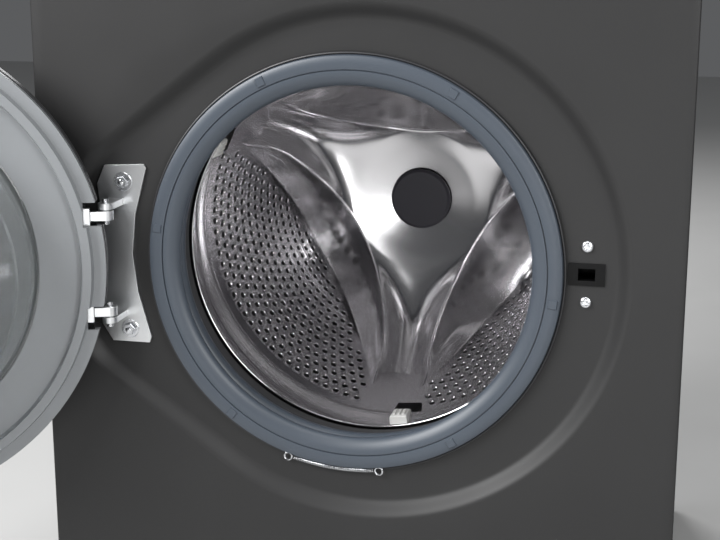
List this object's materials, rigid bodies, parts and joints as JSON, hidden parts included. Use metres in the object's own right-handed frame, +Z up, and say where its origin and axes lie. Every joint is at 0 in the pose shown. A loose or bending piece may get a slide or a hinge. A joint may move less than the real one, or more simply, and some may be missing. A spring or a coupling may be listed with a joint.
{
  "type": "front load washing machine",
  "caption": "Front loading washing machine with a round hinged door, a steel drum in a sprung tub, a belt drive, a drawer and a pump.",
  "frame": {"origin": "on the floor under the middle of the cabinet", "axes": "+X to the right seen from the front, +Y into the machine, the door faces -Y, +Z up"},
  "size_m": [0.9498, 0.8271, 0.85],
  "materials": {
    "cabinet_paint": "satin",
    "worktop_board": "laminate",
    "zinc_sheet": "galvanised",
    "black_paint": "matt",
    "panel_plastic": "gloss",
    "display_glass": "gloss",
    "board_green": "matt",
    "white_plastic": "matt",
    "tub_plastic": "matt",
    "black_plastic": "matt",
    "dark_plastic": "satin",
    "grey_plastic": "satin",
    "hose_rubber": "matt",
    "seal_rubber": "satin",
    "zinc_bright": "plated",
    "cast_zinc": "cast",
    "trim_silver": "brushed",
    "door_glass": "clear",
    "door_tint": "tinted",
    "drum_steel": "polished",
    "cap_grey": "matt",
    "iron": "rough",
    "alloy": "cast",
    "motor_steel": "satin",
    "bearing_steel": "ground",
    "belt_rubber": "matt",
    "damper_steel": "satin",
    "orange_plastic": "matt"
  },
  "bodies": {
    "cabinet": {"left_side_panel": "cabinet_paint", "right_side_panel": "cabinet_paint", "rear_panel": "zinc_sheet", "rear_service_cover": "zinc_sheet", "cover_screws": "zinc_bright", "front_panel": "cabinet_paint", "plinth_panel": "cabinet_paint", "base_frame": "black_paint", "worktop": "worktop_board", "top_crossbars": "zinc_sheet", "control_panel": "panel_plastic", "display_lens": "display_glass", "control_board": "board_green", "drawer_housing": "white_plastic", "inlet_valve": "white_plastic", "internal_hoses": "hose_rubber", "door_gasket": "seal_rubber", "gasket_clamp": "zinc_bright", "hinge_bracket": "cast_zinc", "hinge_fasteners": "zinc_bright", "door_lock": "black_plastic", "lock_screws": "zinc_bright", "drain_pump": "dark_plastic", "mains_gland": "black_plastic", "drain_connector": "dark_plastic", "damper_cylinders": "damper_steel", "suspension_springs": "zinc_bright", "rear_feet": "black_plastic"},
    "door": {"door_outer_ring": "dark_plastic", "door_inner_ring": "grey_plastic", "door_cover": "door_tint", "door_glass": "door_glass", "door_hinge_arms": "cast_zinc"},
    "hook": {"door_hook": "zinc_bright"},
    "lock_bolt": {"lock_slide": "orange_plastic"},
    "tub": {"tub_front": "tub_plastic", "tub_rear": "tub_plastic", "counterweights": "iron", "drum_bearings": "bearing_steel", "motor_body": "motor_steel", "drive_belt": "belt_rubber", "damper_rods": "zinc_bright", "heater_element": "zinc_bright"},
    "drum": {"drum_shell": "drum_steel", "drum_back": "drum_steel", "drum_vents": "white_plastic", "drum_spider": "alloy", "drum_pulley": "alloy", "hub_cap": "cap_grey"},
    "rotor": {"motor_rotor": "bearing_steel"},
    "drawer": {"drawer_tray": "white_plastic", "drawer_front": "panel_plastic"},
    "knob": {"programme_knob": "trim_silver"},
    "power_key": {"power_button": "trim_silver"},
    "start_key": {"start_button": "trim_silver"},
    "flap": {"filter_flap": "cabinet_paint"},
    "filter": {"pump_filter": "white_plastic"},
    "impeller": {"pump_impeller": "white_plastic"},
    "foot_left": {"foot_front_left": "black_plastic"},
    "foot_right": {"foot_front_right": "black_plastic"}
  },
  "joints": [
    {"name": "door_swing", "type": "hinge", "parent": "cabinet", "child": "door", "pos_m": [-0.226, -0.306, 0.44], "axis": [0, 0, 1], "range_deg": [0, 160]},
    {"name": "hook_pivot", "type": "hinge", "parent": "door", "child": "hook", "pos_m": [-0.63399, -0.4686, 0.4445], "axis": [0, 0, 1], "range_deg": [0, 5], "stiffness_Nm_per_rad": 0.3, "springref_deg": -11.46},
    {"name": "lock_bolt_slide", "type": "slide", "parent": "cabinet", "child": "lock_bolt", "axis": [0, 0, 1], "range_m": [0, 0.01]},
    {"name": "tub_bounce", "type": "slide", "parent": "cabinet", "child": "tub", "axis": [0, 0, 1], "range_m": [-0.01, 0.01], "stiffness_N_per_m": 16000, "springref_m": 0.026, "deforming": ["door_gasket", "internal_hoses", "suspension_springs"]},
    {"name": "drum_spin", "type": "hinge", "parent": "tub", "child": "drum", "pos_m": [0, 0, 0.44], "axis": [0, 1, 0], "continuous": true},
    {"name": "motor_spin", "type": "hinge", "parent": "tub", "child": "rotor", "pos_m": [0, 0.1, 0.154], "axis": [0, 1, 0], "continuous": true},
    {"name": "drawer_slide", "type": "slide", "parent": "cabinet", "child": "drawer", "axis": [0, -1, 0], "range_m": [0, 0.2]},
    {"name": "knob_turn", "type": "hinge", "parent": "cabinet", "child": "knob", "pos_m": [-0.03, -0.3, 0.772], "axis": [0, -1, 0], "continuous": true},
    {"name": "power_press", "type": "slide", "parent": "cabinet", "child": "power_key", "axis": [0, 1, 0], "range_m": [0, 0.0015], "stiffness_N_per_m": 1200, "springref_m": -0.0005},
    {"name": "start_press", "type": "slide", "parent": "cabinet", "child": "start_key", "axis": [0, 1, 0], "range_m": [0, 0.0015], "stiffness_N_per_m": 1200, "springref_m": -0.0005},
    {"name": "flap_hinge", "type": "hinge", "parent": "cabinet", "child": "flap", "pos_m": [0.207, -0.289, 0.046], "axis": [1, 0, 0], "range_deg": [0, 90]},
    {"name": "filter_turn", "type": "hinge", "parent": "cabinet", "child": "filter", "pos_m": [0.207, -0.27, 0.082], "axis": [0, -1, 0], "range_deg": [0, 90]},
    {"name": "impeller_spin", "type": "hinge", "parent": "cabinet", "child": "impeller", "pos_m": [0.207, -0.17, 0.082], "axis": [0, 1, 0], "continuous": true},
    {"name": "foot_left_screw", "type": "slide", "parent": "cabinet", "child": "foot_left", "axis": [0, 0, -1], "range_m": [0, 0.015]},
    {"name": "foot_right_screw", "type": "slide", "parent": "cabinet", "child": "foot_right", "axis": [0, 0, -1], "range_m": [0, 0.015]}
  ],
  "couplings": [
    {"joint": "motor_spin", "follows": "drum_spin", "ratio": 16.667}
  ]
}
